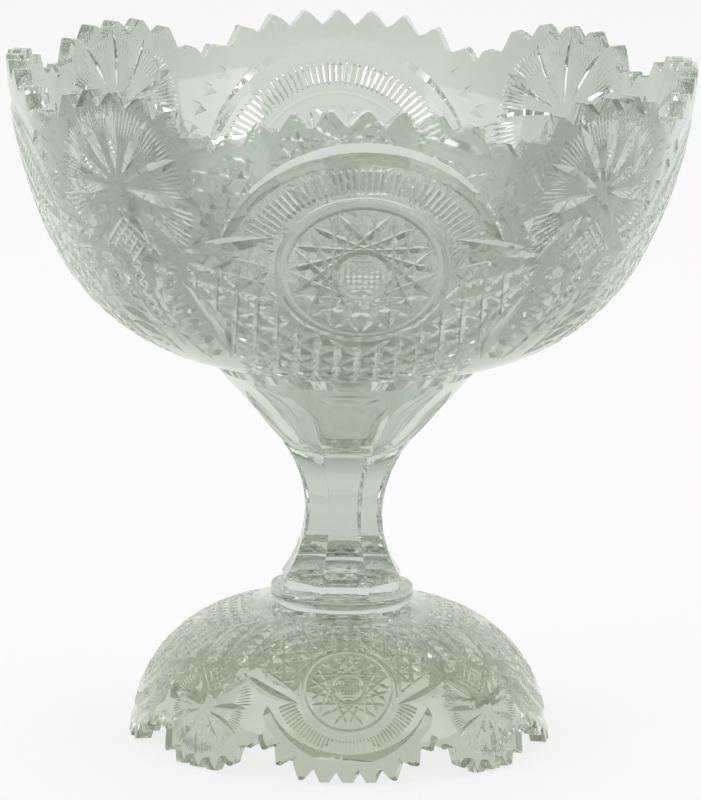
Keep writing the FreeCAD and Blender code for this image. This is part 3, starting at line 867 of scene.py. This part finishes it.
# ------------------------------------------------------------------ glass
class Wire:
    """A socket of a node tree that takes part in sums as a number does."""

    def __init__(self, tree, socket=None):
        self.tree, self.socket = tree, socket

    def node(self, kind, settings, values, give=0):
        """Add a node of a kind with its settings and socket values, and give one of its outputs."""
        made = self.tree.nodes.new(kind)
        for name, choice in settings.items():
            setattr(made, name, choice)
        for name, value in values.items():
            self.feed(value, made.inputs[name])
        return Wire(self.tree, made.outputs[give])

    def feed(self, value, socket):
        if isinstance(value, Wire):
            self.tree.links.new(value.socket, socket)
        else:
            socket.default_value = value

    def sum(self, operation, first, second):
        return self.node("ShaderNodeMath", {"operation": operation}, {0: first, 1: second})

    def __add__(self, other):
        return self.sum("ADD", self, other)

    def __sub__(self, other):
        return self.sum("SUBTRACT", self, other)

    def __rsub__(self, other):
        return self.sum("SUBTRACT", other, self)

    def __mul__(self, other):
        return self.sum("MULTIPLY", self, other)

    def __truediv__(self, other):
        return self.sum("DIVIDE", self, other)

    def __or__(self, other):
        """The greater of the two."""
        return self.sum("MAXIMUM", self, other)

    __radd__ = __add__
    __rmul__ = __mul__

    def ramp(self, start, end):
        """0 up to one value of this wire and 1 from the other on, which may be the lower one."""
        return self.node("ShaderNodeMath", {"operation": "MULTIPLY", "use_clamp": True},
                         {0: self - start, 1: 1 / (end - start)})

    def blend(self, first, second):
        """A colour between two, by this wire's share of the second."""
        first, second = (colour if isinstance(colour, Wire) else (*colour, 1) for colour in (first, second))
        return self.node("ShaderNodeMix", {"data_type": "RGBA"}, {0: self, 6: first, 7: second}, 2)


class Glass:
    """Lead glass with faint wear and the waviness of hand polishing; its tint is still to be fed.

    drift is a broad cloudiness for the tint, and height is the height above the floor in metres.
    """

    def __init__(self, name):
        self.material = bpy.data.materials.new(name)
        self.material.use_nodes = True
        tree = self.material.node_tree
        self.shader = tree.nodes["Principled BSDF"]
        self.shader.inputs["Transmission Weight"].default_value = 1.0
        self.shader.inputs["IOR"].default_value = 1.53
        wire = Wire(tree)
        self.place = place = wire.node("ShaderNodeTexCoord", {}, {}, "Object")
        self.drift = wire.node("ShaderNodeTexNoise", {}, {"Vector": place, "Scale": 9.0, "Detail": 2.0})
        wear = wire.node("ShaderNodeTexNoise", {}, {"Vector": place, "Scale": 160.0, "Detail": 4.0})
        waves = wire.node("ShaderNodeTexNoise", {}, {"Vector": place, "Scale": 45.0, "Detail": 1.0})
        self.height = self.part("Z")
        rough = 0.01 + wear * 0.05
        in_cane = self.height.ramp(0.235, 0.2) * self.height.ramp(0.17, 0.18)
        wire.feed(rough + in_cane * 0.08, self.shader.inputs["Roughness"])
        bump = {"Strength": 0.12, "Distance": 0.0004, "Height": waves}
        wire.feed(wire.node("ShaderNodeBump", {}, bump, "Normal"), self.shader.inputs["Normal"])

    def part(self, axis):
        """The place along one axis."""
        return self.place.node("ShaderNodeSeparateXYZ", {}, {"Vector": self.place}, axis)

    def toward_fan(self):
        """0 at the middle of a hobstar, and 1 at the middle of a fan."""
        across, deep = self.part("X"), self.part("Y")
        turn = across * deep * 2 / (across * across + deep * deep)
        return turn | turn * -1

    def tinted(self, tint):
        tint.feed(tint, self.shader.inputs["Base Color"])
        return self.material


def bowl_glass():
    """Pale, painted a little paler below the teeth as painted light, and painted darker round each fan and
    toward the base as painted shade.
    """
    glass = Glass("bowl_crystal")
    rim = glass.drift.blend((0.64, 0.68, 0.63), (0.61, 0.65, 0.59))
    # painted light: below the teeth the glass is tinted paler than at the rim
    wall = glass.height.ramp(0.3, 0.28).blend(rim, (0.67, 0.705, 0.65))
    # painted shade: the tint darkens toward the middle of each fan
    fan_painted_shade = glass.toward_fan().ramp(0.6, 0.95).blend(wall, (0.55, 0.585, 0.54))
    # painted shade: the tint darkens toward the bowl's base
    return glass.tinted(glass.height.ramp(0.215, 0.19).blend(fan_painted_shade, (0.57, 0.60, 0.53)))


def stand_glass():
    """Palest in the thin cup and the collar as painted light, deeper in the solid stem and warm in the foot
    as painted shade.
    """
    glass = Glass("stand_crystal")
    # painted shade: the random drift is the glass's own tone, but this level, darker than the bowl's, is
    # painted shade in the solid stem
    stem = glass.drift.blend((0.56, 0.595, 0.555), (0.54, 0.57, 0.52))
    # painted light: the cup is tinted paler than the stem
    cup = glass.height.ramp(0.125, 0.14).blend(stem, (0.67, 0.71, 0.65))
    # painted light: the collar is tinted pale
    collar = glass.height.ramp(0.08, 0.073).blend(cup, (0.68, 0.71, 0.67))
    # painted shade: the foot is tinted darker and warmer than the collar
    return glass.tinted(glass.height.ramp(0.063, 0.055).blend(collar, (0.58, 0.605, 0.52)))


def split_bent_faces(mesh):
    """Turn every face into triangles, since the cutting leaves faces that aren't quite flat."""
    work = bmesh.new()
    work.from_mesh(mesh)
    bmesh.ops.triangulate(work, faces=work.faces, quad_method="BEAUTY", ngon_method="BEAUTY")
    work.to_mesh(mesh)
    work.free()


def finish_piece(piece, node, body, material):
    """Turn a finished piece into metres and hand it to the frame."""
    mesh = piece.data
    split_bent_faces(mesh)
    mesh.transform(Matrix.Scale(MM, 4))
    mesh.materials.clear()
    mesh.materials.append(material)
    mesh.polygons.foreach_set("use_smooth", [True] * len(mesh.polygons))
    mesh.set_sharp_from_angle(angle=radians(SHARP))
    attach(piece, body)
    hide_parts(node)


# ------------------------------------------------------------------ the studio
def area_light(name, place, size, power):
    """A soft rectangular lamp that is turned to the low middle of the bowl."""
    aim = Vector((0, 0, 0.2))
    data = bpy.data.lights.new(name, "AREA")
    data.shape = "RECTANGLE"
    data.size, data.size_y = size
    data.energy = power
    lamp = bpy.data.objects.new(name, data)
    bpy.context.scene.collection.objects.link(lamp)
    lamp.location = place
    lamp.rotation_euler = (aim - Vector(place)).to_track_quat("-Z", "Y").to_euler()


def seen_directly(wire):
    """1 for rays that the camera, a mirror or clear glass sends, and 0 for the rest."""
    camera, glossy, through_glass = (wire.node("ShaderNodeLightPath", {}, {}, kind)
                                     for kind in ("Is Camera Ray", "Is Glossy Ray", "Is Transmission Ray"))
    return camera | glossy | through_glass


def make_world():
    """A white surround that glass sees grow dim overhead and toward the front."""
    world = bpy.data.worlds.new("studio")
    bpy.context.scene.world = world
    world.use_nodes = True
    wire = Wire(world.node_tree)
    way = wire.node("ShaderNodeTexCoord", {}, {}, "Generated")
    depth, height = (wire.node("ShaderNodeSeparateXYZ", {}, {"Vector": way}, axis) for axis in "YZ")
    dim = height.ramp(0.15, 0.7) * 0.5 | depth.ramp(-0.1, -0.8) * 0.45
    background = world.node_tree.nodes["Background"]
    background.inputs["Color"].default_value = (1, 1, 1, 1)
    wire.feed(0.6 + seen_directly(wire) * (0.4 - dim), background.inputs["Strength"])


def make_floor():
    """White paper that keeps the shadow of what stands on it."""
    bpy.ops.mesh.primitive_plane_add(size=30)
    floor = bpy.context.object
    floor.name = "floor"
    material = bpy.data.materials.new("paper")
    material.use_nodes = True
    tree = material.node_tree
    wire = Wire(tree)
    shader = tree.nodes["Principled BSDF"]
    shader.inputs["Base Color"].default_value = (0.9, 0.9, 0.9, 1)
    shader.inputs["Roughness"].default_value = 0.9
    glow = wire.node("ShaderNodeEmission", {}, {"Strength": 1.0})
    matt = Wire(tree, shader.outputs[0])
    mixed = wire.node("ShaderNodeMixShader", {}, {0: seen_directly(wire) * 0.8, 1: matt, 2: glow})
    wire.feed(mixed, tree.nodes["Material Output"].inputs["Surface"])
    floor.data.materials.append(material)


def make_studio():
    make_world()
    make_floor()
    area_light("window", place=(-1.7, -1.3, 1.8), size=(2.0, 2.0), power=18)
    area_light("fill", place=(1.9, -1.5, 1.4), size=(1.4, 1.4), power=9)
    area_light("top", place=(0.2, 0.6, 2.4), size=(2.0, 1.4), power=16)
    scene = bpy.context.scene
    scene.view_settings.view_transform = "Standard"
    scene.cycles.max_bounces = 48
    scene.cycles.transmission_bounces = 48
    scene.cycles.glossy_bounces = 24


def make_camera():
    """The viewing angle: a long lens from a little above the rim, held slightly off level."""
    azimuth, elevation, distance, roll = -2.71, 11.38, 3.035, 1.14
    aim = Vector((0.0022, 0, 0.1532))
    data = bpy.data.cameras.new("camera")
    data.lens = 306.8
    camera = bpy.data.objects.new("camera", data)
    bpy.context.scene.collection.objects.link(camera)
    back = direction(elevation, azimuth - 90)
    camera.location = aim + back * distance
    camera.rotation_mode = "QUATERNION"
    turn = Matrix.Rotation(radians(roll), 3, back)
    camera.rotation_quaternion = (turn @ (-back).to_track_quat("-Z", "Y").to_matrix()).to_quaternion()
    bpy.context.scene.camera = camera


finish_piece(make_bowl(), "bowl", "bowl", bowl_glass())
finish_piece(make_stand(), "stand", "stand", stand_glass())
make_studio()
make_camera()
